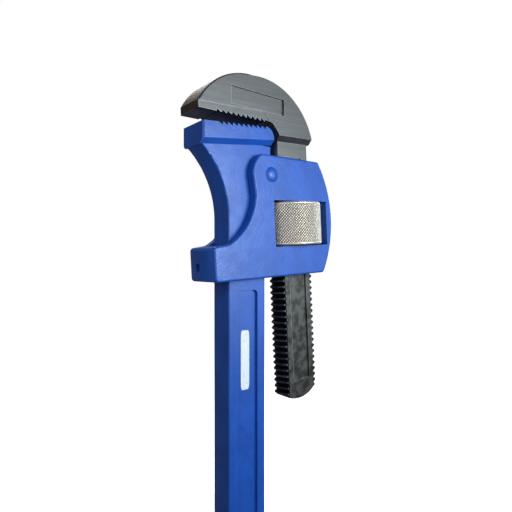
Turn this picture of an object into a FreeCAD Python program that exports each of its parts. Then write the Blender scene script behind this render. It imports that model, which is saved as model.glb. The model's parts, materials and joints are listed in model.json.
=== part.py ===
"""Adjustable pipe wrench of the Stillson pattern, 350 mm size.

The part stands upright: +Z runs up the handle to the jaws, -X is the side the jaws open to,
+X is the back, and the flat sides face -Y and +Y. The origin is the middle of the hanging hole
at the handle's lower end, on the bar's centre line.

Three local frames are used, and every sketch is drawn in one of them:
  bar      its origin is on the bar's centre line, level with the pivot
  housing  its origin is the pivot and it leans by the tilt
  shank    its origin is the middle of the nut, on the shank's axis, with the same lean
"""

import FreeCAD, Part
import os
import Sketcher
from FreeCAD import Placement, Rotation, Vector

SIZES = [
    # handle bar with its fixed jaw
    ("pivot_height", 243.6, "pivot above the lower end of the handle"),
    ("pivot_back", 13.1, "pivot behind the middle of the bar"),
    ("bar_width", 26.2, "bar, front to back, at its parting line"),
    ("bar_thickness", 15.0, "bar, side to side"),
    ("bar_draft", 5.0, "forging draft of the bar, degrees"),
    ("parting_land", 0.25, "half width of the flash line left on a parting line"),
    ("flare_drop", 25.8, "start of the neck's flare below the pivot"),
    ("flare_radius", 50.0, "flare of the neck under the fixed jaw"),
    ("flare_angle", 48.0, "turn of that flare, degrees"),
    ("neck_back", 16.9, "back edge of the neck behind the middle of the bar"),
    ("boss_radius", 7.0, "metal round the pivot hole"),
    ("boss_foot", 10.5, "end of the run-out of that metal below the pivot"),
    ("crease_high", 7.6, "upper forging crease of the neck above the pivot"),
    ("crease_low", 12.5, "lower forging crease of the neck below the pivot"),
    ("crease_width", 0.6, "forging creases"),
    ("crease_depth", 0.25, "forging creases"),
    ("heel_front", 30.6, "front of the fixed jaw before the middle of the bar"),
    ("heel_back", 16.7, "back of the fixed jaw behind the middle of the bar"),
    ("heel_ledge", 14.3, "underside of the fixed jaw above the pivot, at its front"),
    ("heel_ledge_slope", 7.4, "rise of that underside to the back, degrees"),
    ("heel_top", 23.1, "top of the fixed jaw above the pivot, at its front"),
    ("heel_top_slope", 5.6, "rise of its toothed face to the back, degrees"),
    ("heel_overhang", 3.0, "fixed jaw beyond the bar, on each flat side"),
    ("heel_fall", 6.0, "fall of the rounding behind the last tooth"),
    ("heel_round", 1.6, "rounding of the fixed jaw's front corners"),
    ("heel_bevel", 2.6, "bevel from the fixed jaw down to the neck"),
    ("heel_margin", 9.3, "plain stretch before the first tooth"),
    ("tooth_pitch", 3.1, "jaw teeth, tip to tip"),
    ("tooth_depth", 1.7, "jaw teeth"),
    ("tooth_land", 0.3, "flat left on each tip"),
    ("tooth_steep", 0.43, "steep flank of a tooth, measured along the row"),
    ("tooth_zone", 32.4, "toothed length of a jaw"),
    ("panel_width", 14.3, "sunk panel of the handle"),
    ("panel_depth", 1.8, "sunk panel of the handle"),
    ("panel_top", 64.6, "upper end of that panel below the pivot"),
    ("panel_low", 44.0, "lower end of that panel above the end of the handle"),
    ("panel_corner", 2.6, "corner radius of that panel"),
    ("hang_hole", 11.0, "bore of the hanging hole"),
    ("hang_height", 17.0, "hanging hole above the end of the handle"),
    ("bar_round", 0.9, "rounding of the bar's long edges"),
    # pivot
    ("pivot_bore", 6.0, "diameter of the pivot rivet"),
    ("pivot_gap", 0.06, "radial running gap of the rivet in the bar"),
    ("seat_gap", 0.02, "radial gap of a rivet in its seat"),
    ("rivet_head", 8.9, "diameter of the rivet's domes"),
    ("rivet_dome", 1.6, "height of a dome"),
    ("rivet_shoulder", 3.35, "radius of a dome at half its height"),
    ("rivet_flat", 0.6, "radius of the flat the setting tool leaves on a dome"),
    # housing
    ("tilt", 3.3, "lean of the shank and housing to the front, degrees"),
    ("axis_back", 22.46, "shank axis behind the pivot, across the lean"),
    ("nut_drop", 27.44, "middle of the nut below the pivot, along the lean"),
    ("housing_thickness", 25.5, "housing, side to side"),
    ("corner_round", 2.0, "rounding of the housing's corners, seen from the side"),
    ("slot_gap", 0.3, "gap each side of the bar and of the shank"),
    ("collar_bulge", 2.8, "convex front of the collar"),
    ("collar_front", 40.6, "front of the collar before the pivot"),
    ("collar_low", 57.8, "lower face of the housing below the pivot"),
    ("collar_height", 18.4, "height of the collar"),
    ("collar_wall", 4.5, "wall of the collar before the bar, beside its bulge"),
    ("waist_start", 31.2, "start of the cheek's hollow curve before the pivot"),
    ("waist_rise", 1.1, "rise from the collar's top to that start"),
    ("waist_front", 11.7, "cheek edge before the pivot at the top of the hollow"),
    ("waist_top", 12.0, "top of the hollow below the pivot"),
    ("waist_sag", 4.1, "depth of the hollow curve from its chord"),
    ("ear_radius", 13.0, "rounding of the cheeks round the pivot"),
    ("ear_angle", 119.0, "end of that rounding from the back, degrees"),
    ("shoulder_back", 37.8, "upper back corner behind the pivot"),
    ("shoulder_top", 9.9, "upper back corner above the pivot"),
    ("back_reach", 47.8, "widest point of the back behind the pivot"),
    ("back_level", 21.0, "widest point of the back below the pivot"),
    ("foot_back", 39.0, "lower back corner behind the pivot"),
    ("window_front_gap", 1.8, "window before the nut"),
    ("window_back_gap", 0.7, "window behind the nut"),
    ("window_end_gap", 0.7, "window above and below the nut"),
    ("edge_round", 1.2, "rounding of the housing's outer edges"),
    # nut and thread
    ("nut_diameter", 39.8, "adjusting nut over its knurl"),
    ("nut_height", 25.2, "adjusting nut"),
    ("nut_bevel", 0.9, "bevel of the nut's rims"),
    ("thread_diameter", 26.6, "thread of the shank over its crests"),
    ("thread_pitch", 3.6, "thread of the shank"),
    ("thread_depth", 1.45, "thread of the shank"),
    ("thread_crest", 0.6, "flat crest of the shank's thread"),
    ("thread_root", 0.5, "flat root of the shank's thread"),
    ("thread_gap", 0.12, "play between the two threads"),
    ("thread_past", 0.45, "reach of a groove's outline past its open side"),
    ("shank_gap", 0.35, "radial gap of the shank in the housing"),
    # hook jaw, measured from the middle of the nut
    ("shank_thickness", 13.0, "shank, side to side"),
    ("shank_low", 105.9, "lower end of the shank below the nut's middle"),
    ("shank_end_radius", 20.0, "rounding of the shank's lower end"),
    ("shank_end_shift", 2.8, "centre of that rounding before the axis"),
    ("thread_top", 20.0, "upper end of the thread above the nut's middle"),
    ("head_overhang", 3.2, "head beyond the shank, on each flat side"),
    ("head_round", 1.0, "rounding of the crown's edges"),
    ("nose_front", 66.3, "front of the nose before the axis"),
    ("nose_top", 63.8, "top of the nose"),
    ("crown_top", 82.2, "highest point of the crown"),
    ("crown_middle", 27.7, "highest point before the axis"),
    ("crown_front_x", 53.2, "front shoulder of the crown before the axis"),
    ("crown_front_z", 76.8, "front shoulder of the crown"),
    ("crown_back_x", 2.0, "back shoulder of the crown behind the axis"),
    ("crown_back_z", 71.0, "back shoulder of the crown"),
    ("head_back", 13.4, "back of the head behind the axis"),
    ("head_low", 48.4, "lower face of the head"),
    ("head_back_low", 52.0, "lowest point of the crown's arc at the back"),
    ("throat_front", 22.9, "front of the throat before the axis"),
    ("throat_top", 58.7, "top of the throat"),
    ("throat_bend_x", 16.4, "bend of the throat before the axis"),
    ("throat_bend_z", 56.7, "bend of the throat"),
    ("throat_round", 0.6, "height of the throat's rounding over its chord"),
    ("throat_foot", 12.6, "foot of the throat before the axis"),
    ("throat_foot_z", 51.7, "foot of the throat"),
    ("hook_face", 57.8, "toothed face of the hook jaw at its back end"),
    ("hook_face_slope", 1.9, "rise of that face to the front, degrees"),
    ("head_step", 2.8, "bevel from the head down to the shank"),
    ("recess_length", 37.4, "sunk panel of the head"),
    ("recess_height", 9.4, "sunk panel of the head"),
    ("recess_depth", 1.4, "sunk panel of the head"),
    ("recess_x", 26.9, "middle of that panel before the axis"),
    ("recess_z", 68.4, "middle of that panel"),
    ("ground_top", 63.1, "top of the ground strip over the teeth"),
    ("ground_depth", 0.35, "depth of the ground strip"),
    ("shank_panel_width", 13.2, "sunk panel of the shank"),
    ("shank_panel_depth", 1.1, "sunk panel of the shank"),
    ("shank_panel_low", 95.0, "lower end of that panel below the nut's middle"),
    ("shank_panel_top", 40.0, "upper end of that panel above the nut's middle"),
    # leaf springs
    ("leaf_thickness", 0.9, "both leaf springs"),
    ("leaf_width", 9.0, "both leaf springs"),
    ("front_leaf_half", 7.6, "half height of the front spring"),
    ("front_leaf_bow", 2.6, "bow of the front spring"),
    ("back_leaf_half", 6.6, "half height of the back spring"),
    ("back_leaf_bow", 0.9, "bow of the back spring"),
    ("back_leaf_drop", 21.6, "middle of the back spring below the nut's middle"),
    ("leaf_gap", 0.3, "gap beside the back spring"),
    ("leaf_end_gap", 0.45, "gap past the ends of the back spring"),
    ("back_pin_reach", 2.0, "reach of the back spring's rivet into the wall"),
    ("pin_diameter", 2.6, "rivets of the springs"),
    ("pin_head", 5.0, "heads of those rivets"),
    ("pin_face", 3.0, "flats on those heads"),
    ("pin_head_height", 0.8, "heads of those rivets"),
    ("pin_hole", 4.6, "sunk hole over the rivet in the collar"),
    ("pin_hole_depth", 2.6, "sunk hole over the rivet in the collar"),
    ("pin_hole_drop", 1.2, "that hole below the collar's middle"),
    ("overlap", 1.0, "reach of an outline past the metal it cuts or joins"),
]

doc = FreeCAD.newDocument("PipeWrench")
sheet = doc.addObject("Spreadsheet::Sheet", "Sizes")
for row, (alias, number, note) in enumerate(SIZES, start=1):
    sheet.set(f"A{row}", note)
    sheet.set(f"B{row}", str(number))
    sheet.setAlias(f"B{row}", alias)
doc.recompute()

NEAR = 0.01

HEEL_THICKNESS = "(Sizes.bar_thickness + 2 * Sizes.heel_overhang)"
HEAD_THICKNESS = "(Sizes.shank_thickness + 2 * Sizes.head_overhang)"
FRONT_WALL = "(-Sizes.collar_front + Sizes.collar_wall)"
FRONT_LEAF_Z = "(Sizes.collar_height / 2 - Sizes.collar_low - Sizes.pin_hole_drop)"
BACK_LEAF_Z = "(-Sizes.nut_drop - Sizes.back_leaf_drop)"
BACK_LEAF_WALL = ("(Sizes.axis_back + Sizes.thread_diameter / 2 + Sizes.shank_gap"
                  " + Sizes.leaf_thickness + Sizes.back_leaf_bow + Sizes.seat_gap)")

BAR_PLACE = {
    "Base.x": "0",
    "Base.z": "Sizes.pivot_height - Sizes.hang_height",
    "Rotation.Angle": "0",
}
HOUSING_PLACE = {
    "Base.x": "Sizes.pivot_back",
    "Base.z": "Sizes.pivot_height - Sizes.hang_height",
    "Rotation.Angle": "-Sizes.tilt",
}
SHANK_PLACE = {
    "Base.x": "Sizes.pivot_back + Sizes.axis_back * cos(Sizes.tilt)"
              " + Sizes.nut_drop * sin(Sizes.tilt)",
    "Base.z": "Sizes.pivot_height - Sizes.hang_height + Sizes.axis_back * sin(Sizes.tilt)"
              " - Sizes.nut_drop * cos(Sizes.tilt)",
    "Rotation.Angle": "-Sizes.tilt",
}


def value(expression):
    """Return the number that an expression on the sheet gives."""
    return float(sheet.evalExpression(expression.replace("Sizes.", "")))


def new_body(name, place):
    """Start a body whose Label names its file, placed by expressions."""
    body = doc.addObject("PartDesign::Body", name)
    body.Label = name
    body.Placement = Placement(Vector(), Rotation(Vector(0, 1, 0), 1))
    for path, expression in place.items():
        body.setExpression(f"Placement.{path}", expression)
    return body


def plane(body, role):
    """Return one of a body's own origin planes."""
    return next(item for item in body.Origin.OriginFeatures if item.Role == role)


def new_sketch(body, name, role="XZ_Plane", x="0", y="0", lift="0", turn="0"):
    """Start a sketch on an origin plane, shifted in it, lifted off it and turned."""
    sketch = body.newObject("Sketcher::SketchObject", name)
    sketch.AttachmentSupport = [(plane(body, role), "")]
    sketch.MapMode = "FlatFace"
    sketch.AttachmentOffset = Placement(Vector(), Rotation(Vector(0, 0, 1), 1))
    sketch.setExpression("AttachmentOffset.Base.x", x)
    sketch.setExpression("AttachmentOffset.Base.y", y)
    sketch.setExpression("AttachmentOffset.Base.z", lift)
    sketch.setExpression("AttachmentOffset.Rotation.Angle", turn)
    return sketch


def pin(sketch, geometry, end, x, y):
    """Hold one point of a sketch at two expressions from its origin."""
    for kind, place in (("DistanceX", x), ("DistanceY", y)):
        rule = Sketcher.Constraint(kind, -1, 1, geometry, end, value(place))
        index = sketch.addConstraint(rule)
        sketch.setExpression(f"Constraints[{index}]", place)


def outline(sketch, corners):
    """Close an outline; a corner with four values is reached by an arc through the last two."""
    places = [Vector(value(corner[0]), value(corner[1]), 0) for corner in corners]
    edges = []
    for index, corner in enumerate(corners):
        start = places[index - 1]
        if len(corner) == 4:
            middle = Vector(value(corner[2]), value(corner[3]), 0)
            edge = sketch.addGeometry(Part.Arc(start, middle, places[index]))
            on_arc = sketch.addGeometry(Part.Point(middle), True)
            sketch.addConstraint(Sketcher.Constraint("PointOnObject", on_arc, 1, edge))
            pin(sketch, on_arc, 1, corner[2], corner[3])
        else:
            edge = sketch.addGeometry(Part.LineSegment(start, places[index]))
        forward = sketch.getPoint(edge, 1).distanceToPoint(start) < 1e-6
        edges.append((edge, 1, 2) if forward else (edge, 2, 1))
    for index, corner in enumerate(corners):
        edge, _, end = edges[index]
        following, begin, _ = edges[(index + 1) % len(edges)]
        sketch.addConstraint(Sketcher.Constraint("Coincident", edge, end, following, begin))
        pin(sketch, edge, end, corner[0], corner[1])


def circle(sketch, diameter, x="0", y="0"):
    """Draw a circle at two expressions."""
    centre = Vector(value(x), value(y), 0)
    edge = sketch.addGeometry(Part.Circle(centre, Vector(0, 0, 1), value(diameter) / 2))
    pin(sketch, edge, 3, x, y)
    rule = Sketcher.Constraint("Diameter", edge, value(diameter))
    index = sketch.addConstraint(rule)
    sketch.setExpression(f"Constraints[{index}]", diameter)


def rectangle(sketch, left, low, right, high):
    """Draw a rectangle between expressions."""
    outline(sketch, [(left, low), (right, low), (right, high), (left, high)])


def pad(body, sketch, length, symmetric=True):
    """Add material, evenly to both sides of the sketch or along its normal."""
    feature = body.newObject("PartDesign::Pad", sketch.Name + "Pad")
    feature.Profile = (sketch, [""])
    feature.SideType = "Symmetric" if symmetric else "One side"
    feature.setExpression("Length", length)
    doc.recompute()
    return feature


def cut(body, sketch, length=None, symmetric=False, along_normal=False):
    """Remove material, through everything or to a length, and see that some has gone."""
    before = body.Tip.Shape.Volume
    feature = body.newObject("PartDesign::Pocket", sketch.Name + "Cut")
    feature.Profile = (sketch, [""])
    feature.SideType = "Symmetric" if symmetric else "One side"
    if length:
        feature.setExpression("Length", length)
    else:
        feature.Type = "ThroughAll"
    feature.Reversed = along_normal
    doc.recompute()
    if not feature.Shape.Volume < before:
        raise RuntimeError(f"{feature.Name} removes nothing")
    return feature


def mirror(body, feature):
    """Repeat a feature on the other flat side."""
    twin = body.newObject("PartDesign::Mirrored", feature.Name + "Twin")
    twin.Originals = [feature]
    twin.MirrorPlane = (plane(body, "XZ_Plane"), [""])
    body.Tip = twin
    doc.recompute()
    return twin


def side_panel(body, sketch):
    """Sink an outline into both flat sides; the sketch is lifted to the panel's floor."""
    return mirror(body, cut(body, sketch, along_normal=True))


def edges_where(shape, test):
    """Name the edges whose every sampled point passes a test."""
    names = []
    for index, edge in enumerate(shape.Edges, start=1):
        points = edge.discretize(Number=5)
        if all(test(point) for point in points):
            names.append(f"Edge{index}")
    return names


def dress(body, kind, test, **expressions):
    """Fillet or chamfer the edges of the tip that pass a test."""
    base = body.Tip
    names = edges_where(base.Shape, test)
    if not names:
        raise RuntimeError(f"no edge to dress on {base.Name}")
    feature = body.newObject(f"PartDesign::{kind}", base.Name + kind)
    feature.Base = (base, names)
    if "Size2" in expressions:
        feature.ChamferType = "Two distances"
    for path, expression in expressions.items():
        feature.setExpression(path, expression)
    doc.recompute()
    return feature


def round_corners(body, radius, keep=lambda point: True):
    """Fillet the profile's corners: the edges that run straight across the thickness."""
    def across(edge):
        first, last = edge.Vertexes[0].Point, edge.Vertexes[-1].Point
        level = abs(first.x - last.x) + abs(first.z - last.z) < NEAR
        return level and abs(first.y - last.y) > 1 and keep(first)

    base = body.Tip
    names = [f"Edge{index}" for index, edge in enumerate(base.Shape.Edges, start=1)
             if across(edge)]
    feature = body.newObject("PartDesign::Fillet", base.Name + "Corners")
    feature.Base = (base, names)
    feature.setExpression("Radius", radius)
    doc.recompute()
    return feature


def draft_sides(body, thickness, angle, test):
    """Slope narrow faces both ways from a parting line in the middle of the thickness."""
    half = f"({thickness} / 2 - Sizes.parting_land)"
    return dress(body, "Chamfer", test, Size=half, Size2=f"{half} * tan({angle})")


def tooth_row(body, name, x, y, turn):
    """Cut saw teeth along a line that starts at a place and runs at an angle."""
    sketch = new_sketch(body, name, x=x, y=y, turn=turn)
    outline(sketch, [
        ("Sizes.tooth_land", "0"),
        ("Sizes.tooth_pitch - Sizes.tooth_steep", "-Sizes.tooth_depth"),
        ("Sizes.tooth_pitch", "0"),
    ])
    notch = cut(body, sketch, symmetric=True)
    row = body.newObject("PartDesign::LinearPattern", name + "Row")
    row.Originals = [notch]
    row.Direction = (sketch, ["H_Axis"])
    row.setExpression("Length", "Sizes.tooth_zone - Sizes.tooth_pitch")
    row.setExpression("Occurrences", "floor(Sizes.tooth_zone / Sizes.tooth_pitch)")
    body.Tip = row
    doc.recompute()
    return row


def thread(body, name, low, height, corners):
    """Cut a right-hand helical groove round the body's own Z axis."""
    before = body.Tip.Shape.Volume
    sketch = new_sketch(body, name, y=low)
    outline(sketch, corners)
    feature = body.newObject("PartDesign::SubtractiveHelix", name + "Helix")
    feature.Profile = (sketch, [""])
    feature.ReferenceAxis = (plane(body, "Z_Axis"), [""])
    feature.Mode = "pitch-height-angle"
    feature.setExpression("Pitch", "Sizes.thread_pitch")
    feature.setExpression("Height", height)
    doc.recompute()
    if not feature.Shape.Volume < before:
        raise RuntimeError(f"{feature.Name} removes nothing")
    return feature


def shank_section(sketch, gap_radius, gap_side):
    """Draw a bar section with two flat sides and two round edges about the origin."""
    side = f"(Sizes.shank_thickness / 2 + {gap_side})"
    crest = f"(Sizes.thread_diameter / 2 + {gap_radius})"
    half = f"sqrt({crest} * {crest} - {side} * {side})"
    outline(sketch, [
        (half, f"-{side}"),
        (half, side, crest, "0"),
        (f"-{half}", side),
        (f"-{half}", f"-{side}", f"-{crest}", "0"),
    ])


def handle_bar():
    """Forged bar: handle, neck and fixed jaw in one piece."""
    body = new_body("handle_bar", BAR_PLACE)
    half = "Sizes.bar_width / 2"
    low = "-Sizes.pivot_height"
    flare_x = f"(-{half} - Sizes.flare_radius)"
    flare_end = f"{flare_x} + Sizes.flare_radius * cos(Sizes.flare_angle)"
    neck_top = "(Sizes.heel_ledge + Sizes.heel_bevel)"
    boss_edge = ("sqrt(Sizes.boss_radius * Sizes.boss_radius"
                 " - (Sizes.neck_back - Sizes.pivot_back) * (Sizes.neck_back - Sizes.pivot_back))")
    sketch = new_sketch(body, "BarOutline")
    outline(sketch, [
        (f"-{half}", f"{low} + {half}", "0", low),
        (f"-{half}", "-Sizes.flare_drop"),
        (flare_end, "-Sizes.flare_drop + Sizes.flare_radius * sin(Sizes.flare_angle)",
         f"{flare_x} + Sizes.flare_radius * cos(Sizes.flare_angle / 2)",
         "-Sizes.flare_drop + Sizes.flare_radius * sin(Sizes.flare_angle / 2)"),
        (flare_end, neck_top),
        ("Sizes.neck_back", neck_top),
        ("Sizes.neck_back", boss_edge),
        ("Sizes.neck_back", f"-{boss_edge}", "Sizes.pivot_back + Sizes.boss_radius", "0"),
        (half, "-Sizes.boss_foot"),
        (half, f"{low} + {half}"),
    ])
    pad(body, sketch, "Sizes.bar_thickness")
    face = value("Sizes.bar_thickness") / 2
    top = value(neck_top)
    draft_sides(body, "Sizes.bar_thickness", "Sizes.bar_draft",
                lambda p: abs(abs(p.y) - face) < NEAR and p.z < top - NEAR)
    dress(body, "Fillet", lambda p: abs(abs(p.y) - face) < NEAR and p.z < top - NEAR,
          Radius="Sizes.bar_round")
    fixed_jaw(body)
    panel = new_sketch(body, "HandlePanel", lift="Sizes.bar_thickness / 2 - Sizes.panel_depth")
    rectangle(panel, "-Sizes.panel_width / 2", f"{low} + Sizes.panel_low",
              "Sizes.panel_width / 2", "-Sizes.panel_top")
    side_panel(body, panel)
    side = value("Sizes.panel_width") / 2
    dress(body, "Fillet",
          lambda p: abs(abs(p.x) - side) < NEAR and (
              abs(p.z + value("Sizes.panel_top")) < NEAR
              or abs(p.z - value(f"{low} + Sizes.panel_low")) < NEAR),
          Radius="Sizes.panel_corner")
    creases = new_sketch(body, "NeckCreases", lift="Sizes.bar_thickness / 2 - Sizes.crease_depth")
    for level in ("Sizes.crease_high", "-Sizes.crease_low"):
        rectangle(creases, "-Sizes.heel_front", f"{level} - Sizes.crease_width / 2",
                  "Sizes.neck_back + Sizes.overlap", f"{level} + Sizes.crease_width / 2")
    side_panel(body, creases)
    holes = new_sketch(body, "BarHoles")
    circle(holes, "Sizes.pivot_bore + 2 * Sizes.pivot_gap", "Sizes.pivot_back", "0")
    circle(holes, "Sizes.hang_hole", "0", f"{low} + Sizes.hang_height")
    cut(body, holes, symmetric=True)
    return body


def fixed_jaw(body):
    """Add the wide heel on the neck, bevelled below and toothed on top."""
    front = "-Sizes.heel_front"
    back = "Sizes.heel_back"
    foot = "(Sizes.heel_ledge - Sizes.heel_bevel)"
    rise = "(Sizes.heel_front + Sizes.heel_back) * tan(Sizes.heel_ledge_slope)"
    last = "(Sizes.tooth_zone + Sizes.heel_margin - Sizes.heel_front)"
    last_top = f"(Sizes.heel_top + ({last} + Sizes.heel_front) * tan(Sizes.heel_top_slope))"
    sketch = new_sketch(body, "HeelOutline")
    outline(sketch, [
        (front, foot),
        (front, "Sizes.heel_top"),
        (last, last_top),
        (back, f"{last_top} - Sizes.heel_fall",
         f"{last} + ({back} - {last}) * sin(45)", f"{last_top} - Sizes.heel_fall * (1 - cos(45))"),
        (back, f"{foot} + {rise}"),
    ])
    pad(body, sketch, HEEL_THICKNESS)
    face = value(HEEL_THICKNESS) / 2
    nose = value(front)
    slope = value("tan(Sizes.heel_ledge_slope)")

    def on_foot(point):
        line = value(foot) + (point.x - nose) * slope
        return abs(abs(point.y) - face) < NEAR and abs(point.z - line) < NEAR

    dress(body, "Chamfer", on_foot, Size="Sizes.heel_bevel")
    dress(body, "Fillet",
          lambda p: abs(abs(p.y) - face) < NEAR and abs(p.x - nose) < NEAR,
          Radius="Sizes.heel_round")
    return tooth_row(body, "HeelTooth", f"{front} + Sizes.heel_margin",
                     "Sizes.heel_top + Sizes.heel_margin * tan(Sizes.heel_top_slope)",
                     "Sizes.heel_top_slope")


def hook_jaw():
    """Forged hook jaw: toothed head and a flat shank with a thread on its two edges."""
    body = new_body("hook_jaw", SHANK_PLACE)
    section = new_sketch(body, "ShankSection", role="XY_Plane", lift="-Sizes.shank_low")
    shank_section(section, "0", "0")
    pad(body, section, "Sizes.shank_low + Sizes.head_low + Sizes.head_step", symmetric=False)
    rounded_end(body)
    head(body)
    strip = new_sketch(body, "ShankPanel",
                       lift="Sizes.shank_thickness / 2 - Sizes.shank_panel_depth")
    rectangle(strip, "-Sizes.shank_panel_width / 2", "-Sizes.shank_panel_low",
              "Sizes.shank_panel_width / 2", "Sizes.shank_panel_top")
    side_panel(body, strip)
    thread(body, "ShankThread", "-Sizes.shank_low - Sizes.thread_pitch",
           "Sizes.shank_low + Sizes.thread_pitch + Sizes.thread_top",
           groove("Sizes.thread_diameter / 2 - Sizes.thread_depth", "Sizes.thread_root / 2",
                  "Sizes.thread_diameter / 2",
                  "(Sizes.thread_pitch - Sizes.thread_crest) / 2"))
    return body


def rounded_end(body):
    """Round the shank's lower end about a centre a little before the axis."""
    radius = "Sizes.shank_end_radius"
    centre_x = "(-Sizes.shank_end_shift)"
    centre_z = f"({radius} - Sizes.shank_low)"
    wide = f"({radius} + Sizes.overlap)"
    sketch = new_sketch(body, "ShankEnd")
    outline(sketch, [
        (f"{centre_x} - {radius}", centre_z),
        (f"{centre_x} + {radius}", centre_z, centre_x, f"{centre_z} - {radius}"),
        (f"{centre_x} + {wide}", centre_z),
        (f"{centre_x} + {wide}", f"{centre_z} - {wide}"),
        (f"{centre_x} - {wide}", f"{centre_z} - {wide}"),
        (f"{centre_x} - {wide}", centre_z),
    ])
    return cut(body, sketch, symmetric=True)


def groove(deep, deep_half, open_radius, open_half):
    """Give a V groove's corners, carried a little past its open side; radii run outwards."""
    past = "Sizes.thread_past"
    slope = f"({open_half} - {deep_half}) / Sizes.thread_depth"
    out = f"({open_half} + {slope} * {past})"
    return [
        (deep, f"-{deep_half}"),
        (f"{open_radius} + {past}", f"-{out}"),
        (f"{open_radius} + {past}", out),
        (deep, deep_half),
    ]


def head(body):
    """Add the curved head with its crown, throat, teeth and sunk panel."""
    sketch = new_sketch(body, "HeadOutline")
    face_front = "(Sizes.throat_front + Sizes.tooth_zone)"
    outline(sketch, [
        ("-Sizes.nose_front", f"Sizes.hook_face + {face_front} * tan(Sizes.hook_face_slope)"),
        ("-Sizes.nose_front", "Sizes.nose_top"),
        ("-Sizes.crown_middle", "Sizes.crown_top",
         "-Sizes.crown_front_x", "Sizes.crown_front_z"),
        ("Sizes.head_back", "Sizes.head_back_low",
         "Sizes.crown_back_x", "Sizes.crown_back_z"),
        ("Sizes.head_back", "Sizes.head_low"),
        ("-Sizes.throat_foot", "Sizes.head_low"),
        ("-Sizes.throat_foot", "Sizes.throat_foot_z"),
        ("-Sizes.throat_bend_x", "Sizes.throat_bend_z"),
        ("-Sizes.throat_front", "Sizes.throat_top",
         "-(Sizes.throat_bend_x + Sizes.throat_front) / 2",
         "(Sizes.throat_bend_z + Sizes.throat_top) / 2 + Sizes.throat_round"),
        ("-Sizes.throat_front", "Sizes.hook_face"),
    ])
    pad(body, sketch, HEAD_THICKNESS)
    face = value(HEAD_THICKNESS) / 2
    nose = value("Sizes.nose_front")
    low = value("Sizes.head_low")
    crest = value("(Sizes.throat_top + Sizes.nose_top) / 2")
    dress(body, "Chamfer",
          lambda p: abs(abs(p.y) - face) < NEAR and abs(p.z - low) < NEAR,
          Size="Sizes.head_step")
    dress(body, "Fillet",
          lambda p: abs(abs(p.y) - face) < NEAR and (p.z > crest or abs(p.x + nose) < NEAR),
          Radius="Sizes.head_round")
    tooth_row(body, "HookTooth", "-Sizes.throat_front", "Sizes.hook_face",
              "180 - Sizes.hook_face_slope")
    recess = new_sketch(body, "HeadRecess", x="-Sizes.recess_x", y="Sizes.recess_z",
                        lift=f"{HEAD_THICKNESS} / 2 - Sizes.recess_depth",
                        turn="-Sizes.tilt")
    rectangle(recess, "-Sizes.recess_length / 2", "-Sizes.recess_height / 2",
              "Sizes.recess_length / 2", "Sizes.recess_height / 2")
    side_panel(body, recess)
    strip = new_sketch(body, "GroundStrip",
                       lift=f"{HEAD_THICKNESS} / 2 - Sizes.ground_depth")
    outline(strip, [
        ("-Sizes.nose_front - Sizes.overlap", "Sizes.ground_top"),
        ("-Sizes.throat_front - Sizes.overlap", "Sizes.ground_top"),
        ("-Sizes.throat_bend_x", "Sizes.throat_bend_z - Sizes.overlap"),
        ("-Sizes.nose_front - Sizes.overlap", "Sizes.throat_bend_z - Sizes.overlap"),
    ])
    return side_panel(body, strip)


def housing():
    """Cast housing: collar round the bar, two cheeks, and a back wall behind the shank."""
    body = new_body("housing", HOUSING_PLACE)
    ear_x = "Sizes.ear_radius * cos(Sizes.ear_angle)"
    ear_z = "Sizes.ear_radius * sin(Sizes.ear_angle)"
    ear_mid = "(90 + Sizes.ear_angle / 2)"
    collar_top = "(Sizes.collar_height - Sizes.collar_low)"
    waist_low = f"({collar_top} + Sizes.waist_rise)"
    run = "(Sizes.waist_start - Sizes.waist_front)"
    climb = f"(-Sizes.waist_top - {waist_low})"
    chord = f"sqrt({run} * {run} + {climb} * {climb})"
    sketch = new_sketch(body, "HousingOutline")
    outline(sketch, [
        ("-Sizes.collar_front", "-Sizes.collar_low"),
        ("-Sizes.collar_front", collar_top),
        ("-Sizes.waist_start", waist_low),
        ("-Sizes.waist_front", "-Sizes.waist_top",
         f"-(Sizes.waist_start + Sizes.waist_front) / 2 + Sizes.waist_sag * {climb} / {chord}",
         f"({waist_low} - Sizes.waist_top) / 2 - Sizes.waist_sag * {run} / {chord}"),
        ("-Sizes.ear_radius", "0"),
        (ear_x, ear_z, f"Sizes.ear_radius * cos({ear_mid})",
         f"Sizes.ear_radius * sin({ear_mid})"),
        ("Sizes.shoulder_back", "Sizes.shoulder_top"),
        ("Sizes.foot_back", "-Sizes.collar_low", "Sizes.back_reach", "-Sizes.back_level"),
    ])
    pad(body, sketch, "Sizes.housing_thickness")
    face = value("Sizes.housing_thickness") / 2
    round_corners(body, "Sizes.corner_round")
    dress(body, "Fillet", lambda p: abs(abs(p.y) - face) < NEAR, Radius="Sizes.edge_round")
    bulge = new_sketch(body, "CollarBulge", role="XY_Plane",
                       lift="-Sizes.collar_low + Sizes.edge_round")
    wide = "(Sizes.housing_thickness / 2 - Sizes.edge_round)"
    outline(bulge, [
        ("-Sizes.collar_front + Sizes.overlap", f"-{wide}"),
        ("-Sizes.collar_front + Sizes.overlap", wide),
        ("-Sizes.collar_front", wide),
        ("-Sizes.collar_front", f"-{wide}", "-Sizes.collar_front - Sizes.collar_bulge", "0"),
    ])
    pad(body, bulge, "Sizes.collar_height - 2 * Sizes.edge_round", symmetric=False)
    window = new_sketch(body, "NutWindow")
    rectangle(window,
              "Sizes.axis_back - Sizes.nut_diameter / 2 - Sizes.window_front_gap",
              "-Sizes.nut_drop - Sizes.nut_height / 2 - Sizes.window_end_gap",
              "Sizes.axis_back + Sizes.nut_diameter / 2 + Sizes.window_back_gap",
              "-Sizes.nut_drop + Sizes.nut_height / 2 + Sizes.window_end_gap")
    cut(body, window, symmetric=True)
    housing_passages(body)
    return body


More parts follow.
